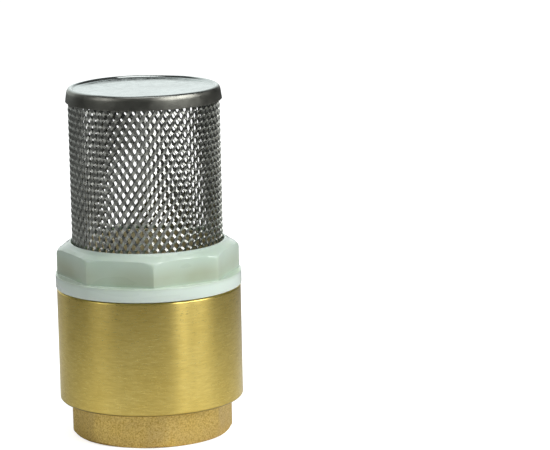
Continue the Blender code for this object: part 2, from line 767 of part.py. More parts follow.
def poppet_head():
    """The upstream half: a low cone with the upper stem above and the spigot below."""
    cone_top = HEAD_TOP + HEAD_CONE_H
    stem_top = cone_top + UPPER_STEM_L
    boss_r = SEAL_HOLE_R - FIT_CLEARANCE
    spigot_bottom = BASE_TOP - SPIGOT_L
    boss_bottom = BASE_TOP + CONTACT_GAP
    head = turned(
        "poppet_head",
        [
            (0.0, stem_top),
            (STEM_R - STEM_TIP_CHAMFER, stem_top),
            (STEM_R, stem_top - STEM_TIP_CHAMFER),
            (STEM_R, cone_top),
            (HEAD_R, HEAD_TOP),
            (HEAD_R, HEAD_BOTTOM),
            (boss_r, HEAD_BOTTOM),
            (boss_r, boss_bottom),
            (SPIGOT_R, boss_bottom),
            (SPIGOT_R, spigot_bottom),
            (0.0, spigot_bottom),
        ],
        BORE_STEPS,
    )
    return as_part(head, POPPET_NYLON, POPPET)


# ---------------------------------------------------------------- return spring


def return_spring():
    """A wire coil whose first and last turns lie closed against the guide and the poppet."""
    low = SPRING_BOTTOM + WIRE_R
    high = SPRING_TOP - WIRE_R
    closed_rise = 2 * WIRE_R + CLOSED_COIL_GAP
    active_rise = high - low - 2 * closed_rise
    active = SPRING_COILS - 2

    def height(turn):
        if turn < 1:
            return low + closed_rise * turn
        if turn > SPRING_COILS - 1:
            return high - closed_rise * (SPRING_COILS - turn)
        return low + closed_rise + active_rise * (turn - 1) / active

    curve = bpy.data.curves.new("return_spring", "CURVE")
    curve.dimensions = "3D"
    curve.bevel_depth = WIRE_R
    curve.bevel_resolution = 2
    curve.use_fill_caps = True
    count = SPRING_COILS * COIL_STEPS + 1
    path = curve.splines.new("POLY")
    path.points.add(count - 1)
    for i, spot in enumerate(path.points):
        turn = i / COIL_STEPS
        angle = 2 * math.pi * turn
        spot.co = (SPRING_R * math.cos(angle), SPRING_R * math.sin(angle), height(turn), 1.0)
    spring = bpy.data.objects.new("return_spring", curve)
    bpy.context.scene.collection.objects.link(spring)
    return as_part(spring, STEEL_WIRE, HOUSING)


valve_body()
stem_guide()
return_spring()
poppet_base()
poppet_seal()
poppet_head()
strainer_nut()
nut_o_ring()
strainer_mesh()
strainer_lid()
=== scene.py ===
"""Looks for a one-inch foot valve: turned brass body, moulded nylon nut, expanded-steel strainer.

Every size is in metres in the frame's own coordinates: +Z runs up the valve's axis, and the
valve stands on its outlet face at the origin. The camera looks along +Y.
"""

import json
import math

import bmesh
import bpy
import numpy as np
from mathutils import Matrix, Vector, noise


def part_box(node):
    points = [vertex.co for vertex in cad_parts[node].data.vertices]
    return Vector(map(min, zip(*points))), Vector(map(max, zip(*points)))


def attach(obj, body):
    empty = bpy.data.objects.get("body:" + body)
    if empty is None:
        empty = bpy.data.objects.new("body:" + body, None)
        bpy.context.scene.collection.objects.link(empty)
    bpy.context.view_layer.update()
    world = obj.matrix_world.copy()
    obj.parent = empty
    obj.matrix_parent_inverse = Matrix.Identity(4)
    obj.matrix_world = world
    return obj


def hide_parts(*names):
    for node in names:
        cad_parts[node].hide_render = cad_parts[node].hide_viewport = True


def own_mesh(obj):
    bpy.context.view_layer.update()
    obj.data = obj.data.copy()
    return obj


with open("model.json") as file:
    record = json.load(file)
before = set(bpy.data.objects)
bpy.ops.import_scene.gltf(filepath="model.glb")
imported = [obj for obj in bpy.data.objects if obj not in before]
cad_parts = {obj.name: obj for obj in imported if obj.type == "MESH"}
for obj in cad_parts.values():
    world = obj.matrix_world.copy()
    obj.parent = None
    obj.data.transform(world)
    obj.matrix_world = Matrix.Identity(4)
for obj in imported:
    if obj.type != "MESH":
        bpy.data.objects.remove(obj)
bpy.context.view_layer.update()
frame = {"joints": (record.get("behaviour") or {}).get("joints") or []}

MM = 0.001

# ---------------------------------------------------------------- sizes read from the frame

BODY_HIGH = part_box("valve_body")[1]
NUT_LOW, NUT_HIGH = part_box("strainer_nut")
MESH_LOW, MESH_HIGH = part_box("strainer_mesh")
LID_LOW, LID_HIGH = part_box("strainer_lid")
GUIDE_LOW, GUIDE_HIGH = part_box("stem_guide")
SEAL_LOW, SEAL_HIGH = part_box("poppet_seal")
BASE_LOW, BASE_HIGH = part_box("poppet_base")
HEAD_LOW, HEAD_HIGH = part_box("poppet_head")
RING_LOW, RING_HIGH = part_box("nut_o_ring")
SPRING_LOW, SPRING_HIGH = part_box("return_spring")

BARREL_R = BODY_HIGH.x
BODY_TOP = BODY_HIGH.z
FLANGE_R = NUT_HIGH.x
COLLAR_TOP = NUT_HIGH.z
SEAT_Z = NUT_LOW.z
SEAT_TOP = BODY_TOP + 0.3 * MM
MESH_R = MESH_HIGH.x
LID_R = LID_HIGH.x
SEAL_R = SEAL_HIGH.x
LIFT = next(joint["range_m"][1] for joint in frame["joints"] if joint["name"] == "poppet_lift")

# ---------------------------------------------------------------- sizes of the real surfaces

PIPE_PITCH = 25.4 / 11 * MM
THREAD_DEPTH = 0.640327 * PIPE_PITCH
THREAD_ROWS = 14
THREAD_PHASE = math.pi / 32
THREAD_FLAT = 0.13

NECK_H = 9.0 * MM
NECK_R = 20.5 * MM
NECK_APOTHEM = 19.7 * MM
NECK_TURN = math.radians(-86)
NECK_FOOT = 0.8 * MM
BARREL_CHAMFER = 0.5 * MM
OUTLET_MAJOR_R = 33.249 / 2 * MM
OUTLET_MINOR_R = OUTLET_MAJOR_R - THREAD_DEPTH
OUTLET_THREAD_L = 9.6 * MM
NUT_MAJOR_R = 41.910 / 2 * MM
NUT_MINOR_R = NUT_MAJOR_R - THREAD_DEPTH
RELIEF = 0.2 * MM
CHAMBER_R = 20.2 * MM

NUT_TURN = math.radians(-87)
NUT_APOTHEM = 21.6 * MM
FLANGE_T = 3.5 * MM
COLLAR_H = 0.7 * MM

STEM_R = 2.5 * MM
STEM_BORE_R = 2.75 * MM
HUB_R = 4.4 * MM
ARM_INNER_R = 3.6 * MM
ARM_W = 1.8 * MM

HOLE_COLUMNS = 55
HOLE_PITCH_Z = 3.25 * MM
STRAND_W = 0.79 * MM
SHEET_T = 0.36 * MM
STRAND_TILT = 0.24 * MM
HOLE_SIDE_STEPS = 4
HOLE_POWER = 1.35
SEAM_LAP = 4
SEAM_AZIMUTH = math.radians(-127)
SEAM_STEP = 0.34 * MM

# The floor's bounce near and far, the distances between which it changes, and how bright the
# camera sees it; then the cosines between which the bright wall fades out.
FLOOR_NEAR = 0.95
FLOOR_FAR = 0.18
FLOOR_REACH = (0.05, 0.30)
FLOOR_GLOW = 0.75
BACKDROP_GLOW = 1.0
WALL_REACH = (0.68, 0.94)

FINE = 320
ROUND = 192
SMALL = 96
FILLET_STEPS = 4

# ---------------------------------------------------------------- mesh helpers


def unit(vector):
    return vector / max(np.linalg.norm(vector), 1e-12)


def rounded(corners, closed=True):
    """A line through (r, z, fillet) corners in the half-plane, with each corner's edge rounded."""
    line = []
    count = len(corners)
    for i, (r, z, fillet) in enumerate(corners):
        here = np.array((r, z))
        at_end = not closed and i in (0, count - 1)
        if fillet <= 0 or at_end:
            line.append(here)
            continue
        before = np.array(corners[i - 1][:2]) - here
        after = np.array(corners[(i + 1) % count][:2]) - here
        reach = min(fillet, 0.49 * np.linalg.norm(before), 0.49 * np.linalg.norm(after))
        start, end = here + unit(before) * reach, here + unit(after) * reach
        for step in range(FILLET_STEPS + 1):
            s = step / FILLET_STEPS
            line.append((1 - s) ** 2 * start + 2 * s * (1 - s) * here + s * s * end)
    return np.array(line)


def rows(radius, low, high, spacing):
    """Plain profile points up a straight bore or wall, close enough together for a thread."""
    count = max(2, round(abs(high - low) / spacing))
    return [(radius, low + (high - low) * i / count, 0.0) for i in range(count + 1)]


def new_mesh(name, verts, faces, sharp=30):
    mesh = bpy.data.meshes.new(name)
    mesh.from_pydata(verts, [], faces)
    mesh.validate()
    obj = bpy.data.objects.new(name, mesh)
    bpy.context.scene.collection.objects.link(obj)
    mesh.shade_smooth()
    mesh.set_sharp_from_angle(angle=math.radians(sharp))
    return obj


def lathe(name, line, steps, form=None, closed=True, start=0.0, sharp=30):
    """A turned piece from a line that runs down its outer side. form may move points by angle."""
    angle = start + 2 * math.pi * np.arange(steps) / steps
    r = np.repeat(line[:, :1], steps, axis=1)
    z = np.repeat(line[:, 1:], steps, axis=1)
    a = np.repeat(angle[None, :], len(line), axis=0)
    if form is not None:
        r, z = form(r, z, a)
    verts = np.stack([r * np.cos(a), r * np.sin(a), z], axis=-1).reshape(-1, 3)
    last = len(line) if closed else len(line) - 1
    i, j = np.meshgrid(np.arange(last), np.arange(steps), indexing="ij")
    below, beside = (i + 1) % len(line), (j + 1) % steps
    corners = [i * steps + j, below * steps + j, below * steps + beside, i * steps + beside]
    faces = np.stack(corners, axis=-1).reshape(-1, 4)
    obj = new_mesh(name, verts.tolist(), faces.tolist(), sharp)
    if not closed:
        weld(obj, sharp)
    return obj


def weld(obj, sharp=30, distance=1e-7):
    bm = bmesh.new()
    bm.from_mesh(obj.data)
    bmesh.ops.remove_doubles(bm, verts=bm.verts, dist=distance)
    bm.to_mesh(obj.data)
    bm.free()
    obj.data.shade_smooth()
    obj.data.set_sharp_from_angle(angle=math.radians(sharp))


def applied(obj):
    """The object with its modifiers applied to its mesh."""
    graph = bpy.context.evaluated_depsgraph_get()
    mesh = bpy.data.meshes.new_from_object(obj.evaluated_get(graph))
    obj.modifiers.clear()
    obj.data = mesh
    return obj


def merged(obj, others, sharp=30):
    """One closed piece made of the object and the shapes that grow out of it."""
    for other in others:
        boolean = obj.modifiers.new(other.name, "BOOLEAN")
        boolean.operation = "UNION"
        boolean.solver = "MANIFOLD"
        boolean.object = other
    applied(obj)
    for other in others:
        bpy.data.objects.remove(other)
    obj.data.materials.clear()
    obj.data.shade_smooth()
    obj.data.set_sharp_from_angle(angle=math.radians(sharp))
    return obj


def bar(name, inner_r, outer_r, width, bottom, top, angle, edge=0.25 * MM):
    """A radial rib with rounded long edges."""
    bm = bmesh.new()
    bmesh.ops.create_cube(bm, size=1.0)
    size = Vector((outer_r - inner_r, width, top - bottom))
    bmesh.ops.scale(bm, vec=size, verts=bm.verts)
    place = Matrix.Rotation(angle, 4, "Z") @ Matrix.Translation(
        ((inner_r + outer_r) / 2, 0.0, (top + bottom) / 2)
    )
    bmesh.ops.bevel(bm, geom=bm.edges, offset=edge, segments=3, affect="EDGES", profile=0.5)
    bmesh.ops.transform(bm, matrix=place, verts=bm.verts)
    mesh = bpy.data.meshes.new(name)
    bm.to_mesh(mesh)
    bm.free()
    obj = bpy.data.objects.new(name, mesh)
    bpy.context.scene.collection.objects.link(obj)
    return obj


def soft_min(a, b, blend=0.09 * MM):
    """The smaller of two radii, with the corner between them rounded."""
    low = np.minimum(a, b)
    return low - blend * np.log(np.exp((low - a) / blend) + np.exp((low - b) / blend))


def octagon_r(angle, apothem, turn):
    """The radius of an octagon's side at an angle; one corner lies at turn."""
    side = math.pi / 4
    return apothem / np.cos((angle - turn) % side - side / 2)


def thread(angle, z, start):
    """From 0 on the crest to 1 at the root of a right-hand groove whose root passes start."""
    turns = (z - start) / PIPE_PITCH - (angle - THREAD_PHASE) / (2 * math.pi)
    wave = 2 * np.abs(turns - np.round(turns))
    flank = np.clip((1 - wave - THREAD_FLAT) / (1 - 2 * THREAD_FLAT), 0, 1)
    return 0.5 * flank + 0.5 * flank * flank * (3 - 2 * flank)


def fade(z, low, high, width):
    """1 between low and high, running out to 0 over width beyond each."""
    return np.clip((z - low) / width + 1, 0, 1) * np.clip((high - z) / width + 1, 0, 1)


# ---------------------------------------------------------------- material helpers


class Paint:
    """A Principled material and short calls that add nodes to it."""

    def __init__(self, name, color, metallic, roughness, **settings):
        self.material = bpy.data.materials.new(name)
        self.material.use_nodes = True
        self.tree = self.material.node_tree
        self.shader = self.tree.nodes["Principled BSDF"]
        self.shader.inputs["Base Color"].default_value = (*color, 1.0)
        self.shader.inputs["Metallic"].default_value = metallic
        self.shader.inputs["Roughness"].default_value = roughness
        for key, value in settings.items():
            self.shader.inputs[key.replace("_", " ")].default_value = value
        self.normal = None

    def add(self, kind, **settings):
        node = self.tree.nodes.new(kind)
        for key, value in settings.items():
            setattr(node, key, value)
        return node

    def link(self, source, target):
        self.tree.links.new(source, target)

    def math(self, operation, a, b=None):
        node = self.add("ShaderNodeMath", operation=operation)
        for socket, value in zip(node.inputs, (a, b)):
            if isinstance(value, (int, float)):
                socket.default_value = value
            elif value is not None:
                self.link(value, socket)
        return node.outputs[0]

    def position(self):
        return self.add("ShaderNodeTexCoord").outputs["Object"]

    def parts(self):
        """The point's x, y and z, and its distance from the axis."""
        split = self.add("ShaderNodeSeparateXYZ")
        self.link(self.position(), split.inputs[0])
        x, y, z = split.outputs
        square = self.math("ADD", self.math("MULTIPLY", x, x), self.math("MULTIPLY", y, y))
        return x, y, z, self.math("SQRT", square)

    def around(self, across, along):
        """Coordinates that change fast along the profile and slowly round the axis."""
        x, y, z, radius = self.parts()
        join = self.add("ShaderNodeCombineXYZ")
        self.link(self.math("MULTIPLY", x, along), join.inputs[0])
        self.link(self.math("MULTIPLY", y, along), join.inputs[1])
        self.link(self.math("MULTIPLY", self.math("ADD", z, radius), across), join.inputs[2])
        return join.outputs[0]

    def height(self, low, high, to_low, to_high):
        """A value that follows the height above the floor."""
        return self.spread(self.parts()[2], low, high, to_low, to_high)

    def noise(self, scale, detail=3.0, where=None, roughness=0.5):
        node = self.add("ShaderNodeTexNoise")
        node.inputs["Scale"].default_value = scale
        node.inputs["Detail"].default_value = detail
        node.inputs["Roughness"].default_value = roughness
        self.link(where or self.position(), node.inputs["Vector"])
        return node.outputs["Fac"]

    def spread(self, value, low, high, to_low, to_high):
        node = self.add("ShaderNodeMapRange")
        for socket, number in zip(node.inputs[1:5], (low, high, to_low, to_high)):
            socket.default_value = number
        self.link(value, node.inputs[0])
        return node.outputs[0]

    def mix(self, share, first, second):
        node = self.add("ShaderNodeMix", data_type="RGBA")
        self.link(share, node.inputs["Factor"])
        for socket, color in zip((node.inputs[6], node.inputs[7]), (first, second)):
            if isinstance(color, tuple):
                socket.default_value = (*color, 1.0)
            else:
                self.link(color, socket)
        return node.outputs[2]

    def color(self, value):
        self.link(value, self.shader.inputs["Base Color"])

    def roughness(self, value):
        self.link(value, self.shader.inputs["Roughness"])

    def bump(self, height, strength, distance):
        node = self.add("ShaderNodeBump")
        node.inputs["Strength"].default_value = strength
        node.inputs["Distance"].default_value = distance
        self.link(height, node.inputs["Height"])
        if self.normal:
            self.link(self.normal, node.inputs["Normal"])
        self.normal = node.outputs["Normal"]
        self.link(self.normal, self.shader.inputs["Normal"])


def turned_brass():
    """Lathe-turned brass: fine rings round the axis that smear highlights up and down."""
    paint = Paint(
        "turned_brass", (0.86, 0.70, 0.24), 1.0, 0.3, Anisotropic=0.85, Anisotropic_Rotation=0.25
    )
    tangent = paint.add("ShaderNodeTangent", direction_type="RADIAL", axis="Z")
    paint.link(tangent.outputs[0], paint.shader.inputs["Tangent"])
    fine = paint.noise(1.0, 4.0, paint.around(7000.0, 700.0), 0.6)
    coarse = paint.noise(1.0, 3.0, paint.around(2100.0, 330.0), 0.6)
    cloud = paint.noise(90.0, 3.0)
    speck = paint.noise(420.0, 2.0)
    tarnish = paint.spread(cloud, 0.35, 0.75, 0.0, 1.0)
    groove = (0.66, 0.48, 0.11)
    base = paint.mix(tarnish, (0.94, 0.76, 0.25), (0.86, 0.67, 0.19))
    turned = paint.mix(paint.spread(coarse, 0.35, 0.68, 0.0, 0.55), base, groove)
    brushed = paint.mix(paint.spread(fine, 0.3, 0.7, 0.0, 0.5), turned, groove)
    specked = paint.mix(paint.spread(speck, 0.79, 0.83, 0.0, 0.6), brushed, (0.24, 0.17, 0.05))
    # Painted shade: the turned brass is painted dark from the barrel's lower chamfer down, fading out 0.7
    # mm above the neck. It stands for the barrel's own shadow over its downward edge.
    edge = paint.height(NECK_H + 0.2 * MM, NECK_H + 0.7 * MM, 0.85, 0.0)
    paint.color(paint.mix(edge, specked, (0.20, 0.14, 0.03)))
    paint.roughness(paint.spread(fine, 0.25, 0.75, 0.24, 0.38))
    paint.bump(fine, 0.5, 0.03 * MM)
    paint.bump(coarse, 0.6, 0.05 * MM)
    return paint.material


def forged_brass():
    """The unmachined skin of the hot-pressed body: grainy and a little darker."""
    paint = Paint("forged_brass", (0.80, 0.58, 0.24), 1.0, 0.42)
    grain = paint.noise(2600.0, 3.0, None, 0.65)
    lumps = paint.noise(700.0, 2.0)
    patch = paint.noise(160.0, 3.0)
    base = paint.mix(paint.spread(patch, 0.35, 0.7, 0.0, 1.0), (0.86, 0.65, 0.21), (0.78, 0.60, 0.24))
    paint.color(paint.mix(paint.spread(grain, 0.32, 0.60, 1.0, 0.0), base, (0.54, 0.35, 0.08)))
    paint.roughness(paint.spread(grain, 0.3, 0.7, 0.55, 0.36))
    paint.bump(grain, 0.5, 0.06 * MM)
    paint.bump(lumps, 0.4, 0.12 * MM)
    return paint.material


def nylon(name, color, shade, scatter=0.25):
    """Moulded nylon: milky and cloudy, with soft gloss and faint flow lines."""
    paint = Paint(name, color, 0.0, 0.34, Subsurface_Weight=scatter, Subsurface_Scale=2.5 * MM)
    paint.shader.inputs["Coat Weight"].default_value = 0.8
    paint.shader.inputs["Coat Roughness"].default_value = 0.13
    paint.shader.inputs["Subsurface Radius"].default_value = (1.0, 1.0, 0.8)
    cloud = paint.noise(110.0, 3.0)
    flow = paint.noise(1.0, 2.0, paint.around(260.0, 60.0))
    paint.color(paint.mix(paint.spread(cloud, 0.35, 0.75, 0.0, 1.0), color, shade))
    paint.roughness(paint.spread(flow, 0.3, 0.7, 0.24, 0.38))
    paint.bump(flow, 0.3, 0.15 * MM)
    paint.bump(paint.noise(3000.0, 2.0), 0.08, 0.02 * MM)
    return paint


def nut_nylon():
    """The nut's outside. Painted shade: a patchy, darker olive band runs up the walls just above the
    flange. Painted highlight: the flange itself is painted brighter than the walls.
    """
    paint = nylon("natural_nylon", (0.70, 0.84, 0.72), (0.62, 0.77, 0.65), 0.4)
    clear = paint.shader.inputs["Base Color"].links[0].from_socket
    flange_top = SEAT_TOP + FLANGE_T
    # Painted shade: a patchy darker olive band runs from just under the flange's top edge up the lower
    # walls. It stands for the shade in the crease over the flange.
    rising = paint.height(flange_top - 0.6 * MM, flange_top + 0.9 * MM, 0.0, 1.0)
    fading = paint.height(flange_top + 2.5 * MM, flange_top + 6.0 * MM, 1.0, 0.0)
    patch = paint.spread(paint.noise(75.0, 2.0), 0.3, 0.7, 0.35, 1.0)
    olive = paint.math("MULTIPLY", paint.math("MULTIPLY", rising, fading), patch)
    # Painted highlight: the flange below its top edge is painted brighter, for the top light on its
    # rounded rim.
    painted_flange_highlight = paint.height(flange_top - 0.9 * MM, flange_top + 0.2 * MM, 1.0, 0.0)
    bright = paint.mix(painted_flange_highlight, clear, (0.82, 0.98, 0.86))
    paint.color(paint.mix(olive, bright, (0.51, 0.58, 0.41)))
    return paint.material


def olive_nylon():
    """The nut's inside: the same nylon with a warm olive tint painted in, as painted shade and the warm
    light the brass throws inside the nut.
    """
    return nylon("inner_nylon_painted_shade", (0.86, 0.78, 0.52), (0.66, 0.57, 0.33), 0.1).material


def strand_steel():
    """Stainless expanded metal: bright sheared strands with a duller rolled face."""
    paint = Paint("strainer_steel", (0.60, 0.59, 0.55), 1.0, 0.3)
    cloud = paint.noise(140.0, 3.0)
    scratch = paint.noise(1800.0, 3.0)
    dull = paint.spread(cloud, 0.35, 0.7, 0.0, 1.0)
    paint.color(paint.mix(dull, (0.44, 0.45, 0.42), (0.29, 0.295, 0.27)))
    paint.roughness(paint.spread(scratch, 0.3, 0.7, 0.2, 0.42))
    paint.bump(scratch, 0.3, 0.03 * MM)
    return paint.material


def lid_steel():
    """Pressed stainless sheet: a near-mirror floor and a drawn, duller skirt. The floor's faint cyan tint
    and the skirt's dark colour are painted reflection.
    """
    paint = Paint("lid_steel", (0.55, 0.57, 0.54), 1.0, 0.2)
    marks = paint.noise(1.0, 3.0, paint.around(2600.0, 60.0))
    dents = paint.noise(120.0, 1.0)
    skirt = paint.spread(paint.parts()[3], LID_R - 1.3 * MM, LID_R - 0.6 * MM, 0.0, 1.0)
    # Painted reflection: the floor's faint cyan tint stands for the bluish wall it mirrors, and the
    # skirt's dark colour for the dark room it reflects.
    floor = paint.mix(paint.spread(dents, 0.35, 0.7, 0.0, 1.0), (0.58, 0.62, 0.61), (0.50, 0.53, 0.52))
    paint.color(paint.mix(skirt, floor, (0.25, 0.25, 0.22)))
    drawn = paint.math("MULTIPLY", skirt, 0.2)
    rolled = paint.noise(500.0, 4.0)
    paint.roughness(paint.math("ADD", paint.spread(rolled, 0.3, 0.7, 0.12, 0.24), drawn))
    paint.bump(paint.math("MULTIPLY", marks, skirt), 0.3, 0.02 * MM)
    paint.bump(rolled, 0.06, 0.02 * MM)
    paint.bump(dents, 0.12, 0.2 * MM)
    return paint.material


def wire_steel():
    paint = Paint("wire_steel", (0.66, 0.66, 0.64), 1.0, 0.22)
    drawn = paint.noise(1500.0, 3.0)
    paint.roughness(paint.spread(drawn, 0.3, 0.7, 0.16, 0.34))
    paint.color(paint.mix(drawn, (0.70, 0.70, 0.68), (0.52, 0.51, 0.48)))
    return paint.material


def rubber(name):
    paint = Paint(name, (0.025, 0.025, 0.027), 0.0, 0.5)
    bloom = paint.noise(350.0, 4.0)
    dusty = paint.spread(bloom, 0.4, 0.75, 0.0, 1.0)
    paint.color(paint.mix(dusty, (0.02, 0.02, 0.022), (0.05, 0.05, 0.052)))
    paint.roughness(paint.spread(bloom, 0.3, 0.7, 0.42, 0.62))
    paint.bump(paint.noise(2200.0, 3.0), 0.3, 0.03 * MM)
    return paint.material


def wear(obj, *materials):
    for made in materials:
        obj.data.materials.append(made)
    return obj


def paint_faces(obj, index, chosen):
    """Gives the faces whose centre passes the test another of the object's materials."""
    count = len(obj.data.polygons)
    centers = np.zeros(count * 3)
    obj.data.polygons.foreach_get("center", centers)
    centers = centers.reshape(-1, 3)
    radius = np.hypot(centers[:, 0], centers[:, 1])
    slots = np.zeros(count, np.int32)
    obj.data.polygons.foreach_get("material_index", slots)
    slots[chosen(radius, centers[:, 2])] = index
    obj.data.polygons.foreach_set("material_index", slots)


def place(obj, body, node, slot):
    """Rides the body and stands for the node. The slot argument is not used."""
    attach(obj, body)
    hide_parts(node)
    return obj


# ---------------------------------------------------------------- brass body


def body_piece():
    """The brass body: turned barrel, forged octagonal neck, two pipe threads and the ledge."""
    web_bottom = OUTLET_THREAD_L + 1.4 * MM
    ledge = web_bottom + 1.5 * MM
    ledge_bore_r = 14.6 * MM
    pocket_r = NUT_MINOR_R - 1.9 * MM
    pocket_top = ledge + 1.9 * MM
    mouth_r = OUTLET_MAJOR_R + RELIEF
    mouth_cut = mouth_r - OUTLET_MINOR_R
    relief_r = NUT_MAJOR_R + RELIEF
    relief_top = SEAT_Z + 0.3 * MM
    relief_bottom = relief_top - 1.4 * MM
    upper_start = relief_bottom + 0.7 * MM
    thread_top = BODY_TOP - 1.6 * MM
    counterbore_r = NUT_MAJOR_R + 0.55 * MM
    spacing = PIPE_PITCH / THREAD_ROWS
    line = rounded(
        [
            (BARREL_R, BODY_TOP, 0.35 * MM),
            (BARREL_R, NECK_H + BARREL_CHAMFER, 0.2 * MM),
            (BARREL_R - BARREL_CHAMFER, NECK_H, 0.2 * MM),
            (NECK_R, NECK_H, 0.35 * MM),
            *rows(NECK_R, NECK_H - 0.5 * MM, NECK_FOOT + 0.3 * MM, 0.35 * MM),
            (NECK_R, NECK_FOOT, 0.4 * MM),
            (NECK_R - NECK_FOOT, 0.0, 0.4 * MM),
            (mouth_r, 0.0, 0.1 * MM),
            *rows(OUTLET_MINOR_R, mouth_cut, OUTLET_THREAD_L - mouth_cut, spacing),
            (mouth_r, OUTLET_THREAD_L, 0.1 * MM),
            (mouth_r, web_bottom, 0.3 * MM),
            (ledge_bore_r, web_bottom, 0.25 * MM),
            (ledge_bore_r, ledge, 0.2 * MM),
            (pocket_r, ledge, 0.2 * MM),
            (pocket_r, pocket_top, 0.1 * MM),
            (CHAMBER_R, pocket_top + CHAMBER_R - pocket_r, 0.8 * MM),
            (CHAMBER_R, relief_bottom - 0.3 * MM, 0.1 * MM),
            (relief_r, relief_bottom, 0.2 * MM),
            (relief_r, relief_top, 0.2 * MM),
            *rows(NUT_MINOR_R, relief_top + 0.3 * MM, thread_top, spacing),
            (counterbore_r, thread_top, 0.15 * MM),
            (counterbore_r, BODY_TOP, 0.25 * MM),
        ]
    )
    wall_r = NECK_R + 0.4 * MM
    skin_depth = 0.03 * MM

    def form(r, z, a):
        neck = (z < NECK_H + 0.01 * MM) & (r > mouth_r + 1 * MM) & (r < wall_r)
        r = np.where(neck, soft_min(r, octagon_r(a, NECK_APOTHEM, NECK_TURN)), r)
        skin = np.zeros_like(r)
        for i, j in zip(*np.nonzero(neck & (z > 0.05 * MM) & (z < NECK_H - 0.05 * MM))):
            spot = Vector((r[i, j] * math.cos(a[i, j]), r[i, j] * math.sin(a[i, j]), z[i, j]))
            skin[i, j] = noise.noise(spot / (1.1 * MM)) + 0.6 * noise.noise(spot / (0.5 * MM))
        r = r + skin_depth * skin
        lower = (z < OUTLET_THREAD_L + 0.1 * MM) & (r < mouth_r + 0.05 * MM)
        groove = OUTLET_MINOR_R + THREAD_DEPTH * thread(a, z, -PIPE_PITCH)
        r = np.where(lower, np.maximum(r, groove), r)
        upper = (z > relief_top) & (z < thread_top + 0.01 * MM) & (r < NUT_MINOR_R + 0.1 * MM)
        groove = NUT_MINOR_R + THREAD_DEPTH * thread(a, z, upper_start)
        return np.where(upper, np.maximum(r, groove), r), z

    body = lathe("body_brass", line, FINE, form, start=NECK_TURN)
    wear(body, turned_brass(), forged_brass())
    bottom, top, inner_r = 0.02 * MM, NECK_H + 0.02 * MM, 18 * MM
    paint_faces(body, 1, lambda r, z: (z > bottom) & (z < top) & (r > inner_r) & (r < wall_r))
    return place(body, "housing", "valve_body", "brass")


# ---------------------------------------------------------------- nylon nut


